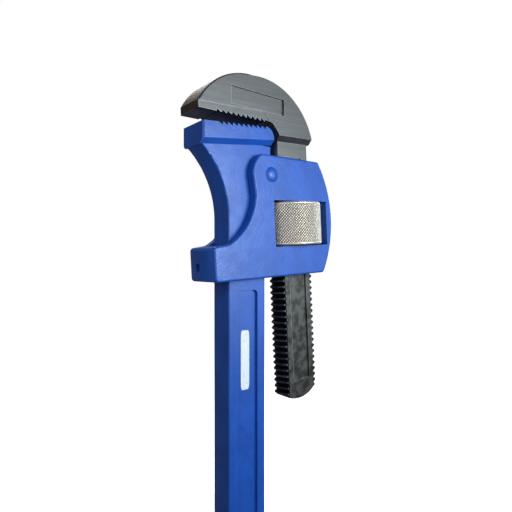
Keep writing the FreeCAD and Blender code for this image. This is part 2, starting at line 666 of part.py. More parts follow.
def housing_passages(body):
    """Open the slot for the bar, the way of the shank, and the rivet and spring holes."""
    side = "(Sizes.bar_thickness / 2 + Sizes.slot_gap)"
    slot = new_sketch(body, "BarSlot", role="XY_Plane")
    rectangle(slot, "-Sizes.collar_front + Sizes.collar_wall",
              f"-{side}", "Sizes.axis_back", side)
    cut(body, slot, symmetric=True)
    way = new_sketch(body, "ShankWay", role="XY_Plane", x="Sizes.axis_back")
    shank_section(way, "Sizes.shank_gap", "Sizes.slot_gap")
    cut(body, way, symmetric=True)
    bore = new_sketch(body, "PivotBore")
    circle(bore, "Sizes.pivot_bore + 2 * Sizes.seat_gap")
    cut(body, bore, symmetric=True)
    seat = new_sketch(body, "BackLeafSeat")
    room = "(Sizes.back_leaf_half + Sizes.leaf_end_gap)"
    rectangle(seat, "Sizes.axis_back", f"{BACK_LEAF_Z} - {room}",
              BACK_LEAF_WALL, f"{BACK_LEAF_Z} + {room}")
    cut(body, seat, "Sizes.leaf_width + 2 * Sizes.leaf_gap", symmetric=True)
    pins = new_sketch(body, "FrontPinHole", role="YZ_Plane")
    circle(pins, "Sizes.pin_diameter + 2 * Sizes.seat_gap", "0", FRONT_LEAF_Z)
    cut(body, pins)
    sunk = new_sketch(body, "FrontPinSink", role="YZ_Plane",
                      lift="-Sizes.collar_front - Sizes.collar_bulge + Sizes.pin_hole_depth")
    circle(sunk, "Sizes.pin_hole", "0", FRONT_LEAF_Z)
    cut(body, sunk)
    rear = new_sketch(body, "BackPinHole", role="YZ_Plane", lift="Sizes.axis_back")
    circle(rear, "Sizes.pin_diameter + 2 * Sizes.seat_gap", "0", BACK_LEAF_Z)
    cut(body, rear, along_normal=True)


def adjusting_nut():
    """Plain-bodied adjusting nut with its inner thread."""
    body = new_body("adjusting_nut", SHANK_PLACE)
    low = "(-Sizes.nut_height / 2)"
    disc = new_sketch(body, "NutDisc", role="XY_Plane", lift=low)
    circle(disc, "Sizes.nut_diameter")
    circle(disc, "Sizes.thread_diameter - 2 * Sizes.thread_depth + 2 * Sizes.thread_gap")
    pad(body, disc, "Sizes.nut_height", symmetric=False)
    rim = value("Sizes.nut_diameter") / 2
    dress(body, "Chamfer", lambda p: abs((p.x ** 2 + p.y ** 2) ** 0.5 - rim) < NEAR
          and abs(abs(p.z) - value("Sizes.nut_height") / 2) < NEAR, Size="Sizes.nut_bevel")
    first = "(-Sizes.shank_low - Sizes.thread_pitch)"
    half_turn = "0.5"
    turns = f"(floor(({low} - {first}) / Sizes.thread_pitch) - {half_turn})"
    inner = "(Sizes.thread_diameter / 2 - Sizes.thread_depth + Sizes.thread_gap)"
    outer = "(Sizes.thread_diameter / 2 + Sizes.thread_gap)"
    crest = "(Sizes.thread_crest / 2 + Sizes.thread_gap)"
    root = "((Sizes.thread_pitch - Sizes.thread_root) / 2 + Sizes.thread_gap)"
    past = "Sizes.thread_gap * 2"
    thread(body, "NutThread", f"{first} + {turns} * Sizes.thread_pitch",
           "Sizes.nut_height + 3 * Sizes.thread_pitch",
           [(f"{inner} - {past}", f"-{root}"), (inner, f"-{root}"),
            (outer, f"-{crest}"), (outer, crest), (inner, root),
            (f"{inner} - {past}", root)])
    return body


def revolved(body, name, corners, role="XY_Plane", **places):
    """Turn an outline about the sketch's X axis; its Y values are radii."""
    sketch = new_sketch(body, name, role=role, **places)
    outline(sketch, corners)
    feature = body.newObject("PartDesign::Revolution", name + "Turn")
    feature.Profile = (sketch, [""])
    feature.ReferenceAxis = (sketch, ["H_Axis"])
    feature.Angle = 360
    doc.recompute()
    return feature


def pivot_rivet():
    """Pivot rivet with a low dome on each cheek."""
    body = new_body("pivot_rivet", HOUSING_PLACE)
    half = "(Sizes.housing_thickness / 2)"
    middle = f"({half} + Sizes.rivet_dome / 2)"
    tip = f"({half} + Sizes.rivet_dome)"
    bore = "(Sizes.pivot_bore / 2)"
    head_radius = "(Sizes.rivet_head / 2)"
    revolved(body, "RivetOutline", [
        (f"-{tip}", "0"),
        (f"-{tip}", "Sizes.rivet_flat"),
        (f"-{half}", head_radius, f"-{middle}", "Sizes.rivet_shoulder"),
        (f"-{half}", bore),
        (half, bore),
        (half, head_radius),
        (tip, "Sizes.rivet_flat", middle, "Sizes.rivet_shoulder"),
        (tip, "0"),
    ], turn="90")
    return body


def front_spring():
    """Bowed leaf inside the collar; its two ends reach towards the bar."""
    body = new_body("front_spring", HOUSING_PLACE)
    bowed_leaf(body, FRONT_WALL, FRONT_LEAF_Z, "Sizes.front_leaf_half",
               "Sizes.front_leaf_bow", "1", "Sizes.pin_diameter")
    return body


def back_spring():
    """Bowed leaf between the back wall and the shank's thread."""
    body = new_body("back_spring", HOUSING_PLACE)
    bowed_leaf(body, BACK_LEAF_WALL, BACK_LEAF_Z, "Sizes.back_leaf_half",
               "Sizes.back_leaf_bow", "-1", "Sizes.pin_diameter")
    return body


def bowed_leaf(body, wall, middle, half, bow, side, bore):
    """Bend a strip whose middle lies on a wall and whose ends stand off it by the bow."""
    inner = f"({wall} + {side} * Sizes.seat_gap)"
    outer = f"({inner} + {side} * Sizes.leaf_thickness)"
    sketch = new_sketch(body, body.Name + "Bow")
    outline(sketch, [
        (f"{inner} + {side} * {bow}", f"{middle} - {half}"),
        (f"{inner} + {side} * {bow}", f"{middle} + {half}", inner, middle),
        (f"{outer} + {side} * {bow}", f"{middle} + {half}"),
        (f"{outer} + {side} * {bow}", f"{middle} - {half}", outer, middle),
    ])
    pad(body, sketch, "Sizes.leaf_width")
    hole = new_sketch(body, body.Name + "Hole", role="YZ_Plane")
    circle(hole, f"{bore} + 2 * Sizes.seat_gap", "0", middle)
    return cut(body, hole, symmetric=True)


def pin_clearance(bow, half):
    """Give the stand-off of a rivet's head that keeps its rim clear of the bent leaf."""
    reach = f"(Sizes.pin_head / 2 / {half})"
    return f"(3 * Sizes.seat_gap + {bow} * {reach} * {reach})"


def front_spring_pin():
    """Rivet of the front spring, its outer end sunk in the collar's hole."""
    body = new_body("front_spring_pin", HOUSING_PLACE)
    outer = "(-Sizes.collar_front - Sizes.collar_bulge + Sizes.pin_hole_depth)"
    bend = pin_clearance("Sizes.front_leaf_bow", "Sizes.front_leaf_half")
    inner = f"({FRONT_WALL} + Sizes.leaf_thickness + {bend})"
    spring_pin(body, outer, inner, "1", FRONT_LEAF_Z)
    return body


def back_spring_pin():
    """Rivet of the back spring, its outer end inside the back wall."""
    body = new_body("back_spring_pin", HOUSING_PLACE)
    outer = f"({BACK_LEAF_WALL} + Sizes.back_pin_reach)"
    bend = pin_clearance("Sizes.back_leaf_bow", "Sizes.back_leaf_half")
    inner = f"({BACK_LEAF_WALL} - Sizes.leaf_thickness - {bend})"
    spring_pin(body, outer, inner, "-1", BACK_LEAF_Z)
    return body


def spring_pin(body, outer, inner, side, level):
    """Turn a rivet along X from its outer end to a low head on the spring."""
    bore = "(Sizes.pin_diameter / 2)"
    head_radius = "(Sizes.pin_head / 2)"
    corners = [
        (outer, "0"),
        (outer, bore),
        (inner, bore),
        (inner, head_radius),
        (f"{inner} + {side} * Sizes.pin_head_height", "Sizes.pin_face / 2"),
        (f"{inner} + {side} * Sizes.pin_head_height", "0"),
    ]
    return revolved(body, body.Name + "Outline", corners, role="XZ_Plane", y=level)


def check_model():
    """Stop if any object failed or any body is not one sound solid."""
    for item in doc.Objects:
        if "Invalid" in item.State or "Error" in item.State:
            raise RuntimeError(f"{item.Name}: {item.getStatusString()}")
    for body in doc.findObjects("PartDesign::Body"):
        shape = body.Shape
        if shape.isNull() or not shape.isValid() or len(shape.Solids) != 1:
            raise RuntimeError(f"{body.Label} is not one sound solid")


def write_parts():
    """Write one STEP file for each body, named by its Label."""
    os.makedirs("parts", exist_ok=True)
    for body in doc.findObjects("PartDesign::Body"):
        body.Shape.exportStep(f"parts/{body.Label}.step")
        print(body.Label, round(body.Shape.Volume), "mm3")


for build in (handle_bar, housing, pivot_rivet, front_spring, front_spring_pin,
              back_spring, back_spring_pin, adjusting_nut, hook_jaw):
    build()
doc.recompute()
check_model()
write_parts()
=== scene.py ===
"""Looks of an adjustable pipe wrench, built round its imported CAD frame.

The frame gives the bodies their shapes. This file adds the knurled adjusting nut, a painted
stripe on the handle, the finishes and the studio. Lengths are in millimetres, and MM turns them
into the metres that Blender's scene uses.
"""

import json
import logging
import math
from abc import ABC, abstractmethod
from dataclasses import dataclass
from enum import Enum

import bpy
import numpy as np
from mathutils import Matrix, Vector


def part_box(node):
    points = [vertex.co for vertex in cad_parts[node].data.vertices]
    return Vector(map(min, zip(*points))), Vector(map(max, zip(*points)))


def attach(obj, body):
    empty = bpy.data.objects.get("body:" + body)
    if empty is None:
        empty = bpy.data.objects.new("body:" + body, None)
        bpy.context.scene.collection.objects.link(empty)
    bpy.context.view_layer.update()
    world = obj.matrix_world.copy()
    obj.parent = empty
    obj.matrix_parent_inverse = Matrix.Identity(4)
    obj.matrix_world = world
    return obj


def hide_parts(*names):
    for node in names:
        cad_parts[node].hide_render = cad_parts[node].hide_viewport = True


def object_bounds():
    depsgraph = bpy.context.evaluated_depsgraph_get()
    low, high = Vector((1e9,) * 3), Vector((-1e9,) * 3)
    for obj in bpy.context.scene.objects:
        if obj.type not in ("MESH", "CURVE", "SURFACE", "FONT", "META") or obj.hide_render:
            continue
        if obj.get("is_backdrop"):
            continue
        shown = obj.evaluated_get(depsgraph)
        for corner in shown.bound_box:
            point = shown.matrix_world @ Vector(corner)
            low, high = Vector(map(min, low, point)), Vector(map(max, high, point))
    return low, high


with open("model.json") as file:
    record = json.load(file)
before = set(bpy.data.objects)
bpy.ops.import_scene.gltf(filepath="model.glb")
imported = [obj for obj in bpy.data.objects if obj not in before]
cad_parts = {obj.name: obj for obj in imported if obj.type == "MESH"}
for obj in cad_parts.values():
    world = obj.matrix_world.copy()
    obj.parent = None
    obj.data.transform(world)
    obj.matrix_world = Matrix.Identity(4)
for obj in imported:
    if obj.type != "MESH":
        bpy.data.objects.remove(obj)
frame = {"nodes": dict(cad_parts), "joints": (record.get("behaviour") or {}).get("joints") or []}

MM = 0.001

Colour = tuple[float, float, float, float]
Socket = bpy.types.NodeSocket

log = logging.getLogger("pipe_wrench")


class Slot(Enum):
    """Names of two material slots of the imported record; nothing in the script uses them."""

    NICKEL = "nickel_plate"
    PAINT = "blue_paint"


def linear(code: str) -> Colour:
    """Turn an sRGB hex colour into the linear values a shader takes.

    Args:
        code: six hex digits after a hash sign.

    Returns:
        Linear red, green and blue, and an alpha of one.
    """
    shares = [int(code[i:i + 2], 16) / 255 for i in (1, 3, 5)]
    red, green, blue = (s / 12.92 if s <= 0.04045 else ((s + 0.055) / 1.055) ** 2.4
                        for s in shares)
    return red, green, blue, 1.0


def add(tree: bpy.types.NodeTree, kind: str, inputs: dict | None = None,
        **settings: object) -> bpy.types.Node:
    """Add one node with its settings, its input values and its links.

    Args:
        tree: node tree that the node joins.
        kind: type name of the node.
        inputs: for each socket, by name or number, a value or the output that feeds it.
        settings: the node's own properties.

    Returns:
        The new node.
    """
    node = tree.nodes.new(kind)
    for name, setting in settings.items():
        setattr(node, name, setting)
    for key, item in (inputs or {}).items():
        if isinstance(item, Socket):
            tree.links.new(item, node.inputs[key])
        else:
            node.inputs[key].default_value = item
    return node


def per_mm(size: float) -> float:
    """Give the texture scale at which one feature of a pattern is about this many mm wide."""
    return 1 / (size * MM)


@dataclass(frozen=True)
class ShankAxis:
    """The line that the nut turns about, with the cross directions of the shank's frame.

    Attributes:
        origin: middle of the nut, in metres.
        along: unit direction up the shank.
    """

    origin: Vector
    along: Vector

    @classmethod
    def from_joint(cls, name: str) -> "ShankAxis":
        """Read the line from a hinge of the frame.

        Args:
            name: the hinge's name.

        Returns:
            The hinge's line.
        """
        hinge = next(joint for joint in frame["joints"] if joint["name"] == name)
        return cls(Vector(hinge["pos_m"]), Vector(hinge["axis"]).normalized())

    @property
    def across(self) -> Vector:
        """Unit direction from the front of the shank to its back."""
        return Vector((0.0, 1.0, 0.0)).cross(self.along)

    @property
    def lean(self) -> float:
        """Angle of the shank from upright, in radians, as a turn about the Y axis."""
        return math.atan2(self.along.x, self.along.z)

    def span(self, node: str) -> tuple[float, float]:
        """Measure a CAD node along the line.

        Args:
            node: name of the CAD node.

        Returns:
            Lowest and highest place along the line, in mm from the origin.
        """
        mesh = frame["nodes"][node].data
        places = np.empty(len(mesh.vertices) * 3)
        mesh.vertices.foreach_get("co", places)
        heights = (places.reshape(-1, 3) - np.array(self.origin)) @ np.array(self.along)
        return float(heights.min() / MM), float(heights.max() / MM)

    def place(self, radius: np.ndarray, angle: np.ndarray, height: np.ndarray) -> np.ndarray:
        """Turn cylinder coordinates about the line into places in the frame.

        The place is the origin, plus the radius times cosine of the angle across the shank, plus
        the radius times sine of the angle along Y, plus the height along the line.

        Args:
            radius: distances from the line, in mm.
            angle: angles from the back of the shank, in radians.
            height: heights above the origin, in mm.

        Returns:
            Places in metres, with the three coordinates in the last dimension.
        """
        parts = (radius * np.cos(angle), radius * np.sin(angle), height)
        directions = (self.across, Vector((0.0, 1.0, 0.0)), self.along)
        total = sum(part[..., None] * np.array(way) for part, way in zip(parts, directions))
        return np.array(self.origin) + total * MM


class Finish(ABC):
    """A surface finish that makes its own material."""

    title: str

    def material(self) -> bpy.types.Material:
        """Make the material, with its shader wired to the output.

        Returns:
            The new material.
        """
        made = bpy.data.materials.new(self.title)
        made.use_nodes = True
        tree = made.node_tree
        tree.nodes.clear()
        shader = self.shader(tree)
        add(tree, "ShaderNodeOutputMaterial", {"Surface": shader.outputs["BSDF"]})
        return made

    @abstractmethod
    def shader(self, tree: bpy.types.NodeTree) -> bpy.types.Node:
        """Build the finish's nodes and return its shader."""


def object_place(tree: bpy.types.NodeTree) -> Socket:
    """Give the place on the piece, in metres, in its own object space."""
    return add(tree, "ShaderNodeTexCoord").outputs["Object"]


def stretched(tree: bpy.types.NodeTree, place: Socket, sizes: tuple[float, float, float],
              detail: float = 3.0) -> Socket:
    """Make noise whose grains have a chosen size along each axis.

    Args:
        tree: node tree that takes the nodes.
        place: coordinates in metres.
        sizes: size of a grain along X, Y and Z, in mm.
        detail: octaves of the noise.

    Returns:
        The noise's value, around one half.
    """
    scaled = add(tree, "ShaderNodeMapping", {"Vector": place,
                                             "Scale": [per_mm(size) for size in sizes]})
    return add(tree, "ShaderNodeTexNoise", {"Vector": scaled.outputs["Vector"], "Scale": 1.0,
                                            "Detail": detail}).outputs["Fac"]


def ramp(tree: bpy.types.NodeTree, value: Socket, low: float, high: float,
         start: float = 0.0, end: float = 1.0) -> Socket:
    """Carry a value smoothly from one range to another, held at both ends."""
    return add(tree, "ShaderNodeMapRange",
               {"Value": value, "From Min": low, "From Max": high, "To Min": start,
                "To Max": end}, interpolation_type="SMOOTHSTEP").outputs["Result"]


def math_of(tree: bpy.types.NodeTree, operation: str, *values: Socket | float) -> Socket:
    """Work out one sum of numbers, each a socket or a constant."""
    return add(tree, "ShaderNodeMath", dict(enumerate(values)),
               operation=operation).outputs["Value"]


def blend(tree: bpy.types.NodeTree, share: Socket | float, first: Socket | Colour,
          second: Socket | Colour) -> Socket:
    """Mix two colours by a share of the second."""
    node = add(tree, "ShaderNodeMix", {"Factor": share}, data_type="RGBA")
    for key, item in ((6, first), (7, second)):
        if isinstance(item, Socket):
            tree.links.new(item, node.inputs[key])
        else:
            node.inputs[key].default_value = item
    return node.outputs[2]


def edge_share(tree: bpy.types.NodeTree, radius: float) -> Socket:
    """Find edges: the share is high where the normal, rounded over a radius, leaves the face."""
    rounded = add(tree, "ShaderNodeBevel", {"Radius": radius * MM}, samples=4)
    flat = add(tree, "ShaderNodeNewGeometry")
    facing = add(tree, "ShaderNodeVectorMath",
                 {0: rounded.outputs["Normal"], 1: flat.outputs["Normal"]},
                 operation="DOT_PRODUCT")
    return ramp(tree, facing.outputs["Value"], 0.995, 0.80)


@dataclass(frozen=True)
class GlossEnamel(Finish):
    """Alkyd gloss enamel, dipped over rough forgings and castings.

    The film is thick and shiny and follows the metal's shallow dents and its grain; a lighter
    blue along sharp edges is a painted highlight.

    Attributes:
        title: name of the material.
        grain_size: size of the metal's grain under the film, in mm.
        grain_depth: depth of that grain, in mm.
        flash_height: height of the flash line in the middle of a forging's narrow sides, in mm.
    """

    title: str
    grain_size: float
    grain_depth: float
    flash_height: float
    film: str = "#1454B6"
    deep_film: str = "#104BA8"
    # painted highlight: the lighter blue laid along sharp edges
    edge_highlight_blue: str = "#6C9AE8"
    roughness: float = 0.42
    dent_size: float = 5.0
    dent_depth: float = 0.10
    edge_radius: float = 0.3
    flash_half: float = 0.5

    def shader(self, tree: bpy.types.NodeTree) -> bpy.types.Node:
        """Layer the film's two blues, a painted highlight on the edges, the dents, the grain and
        the flash.
        """
        place = object_place(tree)
        cloud = stretched(tree, place, (14.0, 14.0, 22.0))
        dents = stretched(tree, place, (self.dent_size,) * 3, detail=2.0)
        grain = stretched(tree, place, (self.grain_size,) * 3, detail=2.0)
        side = add(tree, "ShaderNodeSeparateXYZ", {"Vector": place}).outputs["Y"]
        flash = ramp(tree, math_of(tree, "ABSOLUTE", side), self.flash_half * MM, 0.0)
        body = blend(tree, ramp(tree, cloud, 0.35, 0.65), linear(self.film),
                     linear(self.deep_film))
        # Painted highlight: edges take a share of the lighter blue.
        edges = math_of(tree, "MULTIPLY", edge_share(tree, self.edge_radius), 0.6)
        colour = blend(tree, edges, body, linear(self.edge_highlight_blue))
        dented = add(tree, "ShaderNodeBump", {"Height": dents, "Strength": 1.0,
                                              "Distance": self.dent_depth * MM})
        grained = add(tree, "ShaderNodeBump", {"Height": grain, "Strength": 1.0,
                                               "Distance": self.grain_depth * MM,
                                               "Normal": dented.outputs["Normal"]})
        ridged = add(tree, "ShaderNodeBump", {"Height": flash, "Strength": 1.0,
                                              "Distance": self.flash_height * MM,
                                              "Normal": grained.outputs["Normal"]})
        rough = ramp(tree, dents, 0.3, 0.7, self.roughness - 0.05, self.roughness + 0.06)
        return add(tree, "ShaderNodeBsdfPrincipled", {
            "Base Color": colour, "Roughness": rough, "IOR": 1.5,
            "Coat Weight": 0.18, "Coat Roughness": 0.2, "Coat IOR": 1.5,
            "Normal": ridged.outputs["Normal"]})


@dataclass(frozen=True)
class ForgedSteel(Finish):
    """Carbon steel, drop forged, its head and upper shank ground and its lower shank left dark.

    Grinding leaves fine lines along the head and a lighter grey; the lower shank keeps its brown
    black forging scale in blotches; the thread's grooves get painted shade, and its crests and
    other edges a painted highlight.
    """

    axis: ShankAxis
    title: str = "carbon_steel_forged_and_ground"
    ground: str = "#706E6D"
    ground_shade: str = "#666463"
    scale: str = "#62605D"
    scale_shade: str = "#403E3B"
    # painted shade colour for the thread's grooves
    thread_groove_shade: str = "#1D1E21"
    # painted highlight colour for edges and the thread's crests
    edge_highlight_grey: str = "#D2D5D8"
    heat_tint: str = "#6E5D4C"
    line_length: float = 26.0
    line_width: float = 0.45
    line_depth: float = 0.008
    blotch_size: float = 5.0
    change_low: float = -45.0
    change_high: float = 30.0
    groove_radius: float = 12.6
    thread_inner: float = 10.2
    thread_end: float = 20.5
    head_start: float = 48.0

    def shader(self, tree: bpy.types.NodeTree) -> bpy.types.Node:
        """Mix ground steel, scale, painted groove shade and painted edge highlights by place on
        the shank.
        """
        place = object_place(tree)
        own = add(tree, "ShaderNodeMapping",
                  {"Vector": place, "Location": self.axis.origin,
                   "Rotation": (0.0, self.axis.lean, 0.0)}, vector_type="TEXTURE")
        local = own.outputs["Vector"]
        apart = add(tree, "ShaderNodeSeparateXYZ", {"Vector": local})
        across, side, height = (apart.outputs[axis] for axis in "XYZ")
        lines = stretched(tree, local, (self.line_length, self.line_width, self.line_width),
                          detail=4.0)
        cross_lines = stretched(tree, local, (self.line_width, self.line_width, 9.0), detail=2.0)
        blotches = stretched(tree, local, (self.blotch_size,) * 3, detail=5.0)
        clean = blend(tree, ramp(tree, lines, 0.3, 0.7), linear(self.ground_shade),
                      linear(self.ground))
        dark = blend(tree, ramp(tree, blotches, 0.38, 0.62), linear(self.scale_shade),
                     linear(self.scale))
        worn = ramp(tree, height, self.change_low * MM, self.change_high * MM)
        body = blend(tree, worn, dark, clean)
        # Painted highlight: edges turn towards a near white grey.
        edges = math_of(tree, "MULTIPLY", edge_share(tree, 0.4), 0.7)
        body = blend(tree, edges, body, linear(self.edge_highlight_grey))
        tinted = self.nose_share(tree, across, blotches)
        body = blend(tree, tinted, body, linear(self.heat_tint))
        # Painted shade: the thread's grooves turn near black.
        groove_shade_share = self.groove_share(tree, across, side, height)
        colour = blend(tree, groove_shade_share, body, linear(self.thread_groove_shade))
        relief = math_of(tree, "ADD", lines, math_of(tree, "MULTIPLY", cross_lines, 0.35))
        bumped = add(tree, "ShaderNodeBump", {"Height": relief, "Strength": 1.0,
                                              "Distance": self.line_depth * MM})
        dull = ramp(tree, worn, 0.0, 1.0, 0.52, 0.50)
        rough = math_of(tree, "ADD", dull, ramp(tree, blotches, 0.3, 0.7, -0.05, 0.05))
        return add(tree, "ShaderNodeBsdfPrincipled", {
            "Base Color": colour, "Roughness": rough, "Metallic": 1.0,
            "Normal": bumped.outputs["Normal"]})

    def groove_share(self, tree: bpy.types.NodeTree, across: Socket, side: Socket,
                     height: Socket) -> Socket:
        """Find the thread's grooves: near the round edges, under the crests and below its end."""
        radius = math_of(tree, "SQRT", math_of(
            tree, "ADD", math_of(tree, "MULTIPLY", across, across),
            math_of(tree, "MULTIPLY", side, side)))
        deep = ramp(tree, radius, (self.groove_radius + 0.5) * MM, self.groove_radius * MM)
        outer = math_of(tree, "GREATER_THAN", math_of(tree, "ABSOLUTE", across),
                        self.thread_inner * MM)
        below = math_of(tree, "LESS_THAN", height, self.thread_end * MM)
        return math_of(tree, "MULTIPLY", deep, math_of(tree, "MULTIPLY", outer, below))

    def nose_share(self, tree: bpy.types.NodeTree, across: Socket, blotches: Socket) -> Socket:
        """Find the brown tint at the nose: far before the axis, on faces turned to the front."""
        facing = add(tree, "ShaderNodeSeparateXYZ",
                     {"Vector": add(tree, "ShaderNodeTexCoord").outputs["Normal"]})
        front = ramp(tree, facing.outputs["X"], -0.6, -0.9)
        near = ramp(tree, across, -60.0 * MM, -65.0 * MM)
        patchy = ramp(tree, blotches, 0.42, 0.58)
        return math_of(tree, "MULTIPLY", math_of(tree, "MULTIPLY", front, near), patchy)


@dataclass(frozen=True)
class SatinNickel(Finish):
    """Steel, knurled and then nickel plated to a satin.

    The crests of the knurl are a warm light nickel, and its grooves are darkened as painted
    shade.
    """

    title: str = "steel_knurled_satin_nickel_plated"
    plate: str = "#FBEFE2"
    # painted shade colour for the knurl's grooves
    knurl_groove_shade: str = "#2E2A26"
    roughness: float = 0.50
    speck_size: float = 0.6

    def shader(self, tree: bpy.types.NodeTree) -> bpy.types.Node:
        """Darken the grooves with painted shade by the height stored on the piece, and vary the
        satin.
        """
        specks = stretched(tree, object_place(tree), (self.speck_size,) * 3)
        crest = add(tree, "ShaderNodeAttribute", attribute_name=KnurledNut.crest_name)
        # Painted shade: the lower the knurl at a point, the darker its colour.
        plated = ramp(tree, crest.outputs["Fac"], 0.05, 0.75)
        colour = blend(tree, plated, linear(self.knurl_groove_shade), linear(self.plate))
        rough = ramp(tree, specks, 0.3, 0.7, self.roughness - 0.06, self.roughness + 0.08)
        bumped = add(tree, "ShaderNodeBump", {"Height": specks, "Strength": 0.6,
                                              "Distance": 0.01 * MM})
        return add(tree, "ShaderNodeBsdfPrincipled", {
            "Base Color": colour, "Roughness": rough, "Metallic": 1.0,
            "Normal": bumped.outputs["Normal"]})


@dataclass(frozen=True)
class RolledSteel(Finish):
    """Steel strip or wire, rolled or drawn, with faint lines along its length.

    Attributes:
        title: name of the material.
        light: colour of the bare metal.
        shade: colour in the lines.
        roughness: how dull the surface is.
        line_sizes: size of a line along X, Y and Z, in mm.
    """

    title: str
    light: str
    shade: str
    roughness: float
    line_sizes: tuple[float, float, float]

    def shader(self, tree: bpy.types.NodeTree) -> bpy.types.Node:
        """Streak the metal along the direction it was rolled or drawn in."""
        lines = stretched(tree, object_place(tree), self.line_sizes)
        colour = blend(tree, ramp(tree, lines, 0.3, 0.7), linear(self.shade), linear(self.light))
        rough = ramp(tree, lines, 0.3, 0.7, self.roughness + 0.06, self.roughness - 0.04)
        bumped = add(tree, "ShaderNodeBump", {"Height": lines, "Strength": 0.5,
                                              "Distance": 0.01 * MM})
        return add(tree, "ShaderNodeBsdfPrincipled", {
            "Base Color": colour, "Roughness": rough, "Metallic": 1.0,
            "Normal": bumped.outputs["Normal"]})


@dataclass(frozen=True)
class MattPaint(Finish):
    """Matt emulsion, rolled on: pale, even and without gloss."""

    title: str = "emulsion_matt_rolled"
    pale: str = "#F4F4F2"
    shade: str = "#EFEFED"
    grain: float = 3.0

    def shader(self, tree: bpy.types.NodeTree) -> bpy.types.Node:
        """Vary the pale coat very slightly with the roller's grain."""
        grain = stretched(tree, object_place(tree), (self.grain,) * 3)
        colour = blend(tree, grain, linear(self.shade), linear(self.pale))
        return add(tree, "ShaderNodeBsdfPrincipled", {
            "Base Color": colour, "Roughness": 0.8, "Specular IOR Level": 0.2})


@dataclass(frozen=True)
class PrintedWhite(Finish):
    """White enamel ink, pad printed: satin, faintly uneven where the pad lifted."""

    title: str = "enamel_ink_pad_printed"
    ink: str = "#E9EDF4"
    thin_ink: str = "#B9C8E6"
    grain: float = 0.8

    def shader(self, tree: bpy.types.NodeTree) -> bpy.types.Node:
        """Let a little of the blue below show where the ink is thin."""
        grain = stretched(tree, object_place(tree), (self.grain, self.grain, self.grain * 2))
        colour = blend(tree, ramp(tree, grain, 0.55, 0.75), linear(self.ink),
                       linear(self.thin_ink))
        bumped = add(tree, "ShaderNodeBump", {"Height": grain, "Strength": 0.5,
                                              "Distance": 0.01 * MM})
        return add(tree, "ShaderNodeBsdfPrincipled", {
            "Base Color": colour, "Roughness": 0.4, "IOR": 1.5,
            "Normal": bumped.outputs["Normal"]})


def surface(name: str, places: np.ndarray, rows_close: bool) -> bpy.types.Object:
    """Make an object from a grid of places whose columns close round.

    Each quad joins a grid point to its neighbours in the next row and the next column. Where the
    rows don't close too, the first and last rows are each capped by one many-sided face.

    Args:
        name: name of the piece.
        places: grid of places in metres, rows by columns by three.
        rows_close: whether the last row joins the first.

    Returns:
        The linked object, at the origin.
    """
    rows, columns = places.shape[:2]
    last = rows if rows_close else rows - 1
    row, column = np.meshgrid(np.arange(last), np.arange(columns), indexing="ij")
    next_row, next_column = (row + 1) % rows, (column + 1) % columns
    corners = [row * columns + column, row * columns + next_column,
               next_row * columns + next_column, next_row * columns + column]
    quads = np.stack(corners, axis=-1).reshape(-1, 4)
    mesh = bpy.data.meshes.new(name)
    faces = quads.tolist()
    if not rows_close:
        ring = np.arange(columns)
        faces += [ring[::-1].tolist(), (ring + (rows - 1) * columns).tolist()]
    mesh.from_pydata(places.reshape(-1, 3).tolist(), [], faces)
    mesh.update()
    piece = bpy.data.objects.new(name, mesh)
    bpy.context.scene.collection.objects.link(piece)
    return piece


def dress(piece: bpy.types.Object, coat: bpy.types.Material) -> None:
    """Give a piece one material on its only slot."""
    piece.data.materials.clear()
    piece.data.materials.append(coat)


def dress_nodes(names: list[str], coat: bpy.types.Material) -> None:
    """Give CAD nodes a material and report each one."""
    for name in names:
        dress(frame["nodes"][name], coat)
        log.info("%s finished in %s", name, coat.name)


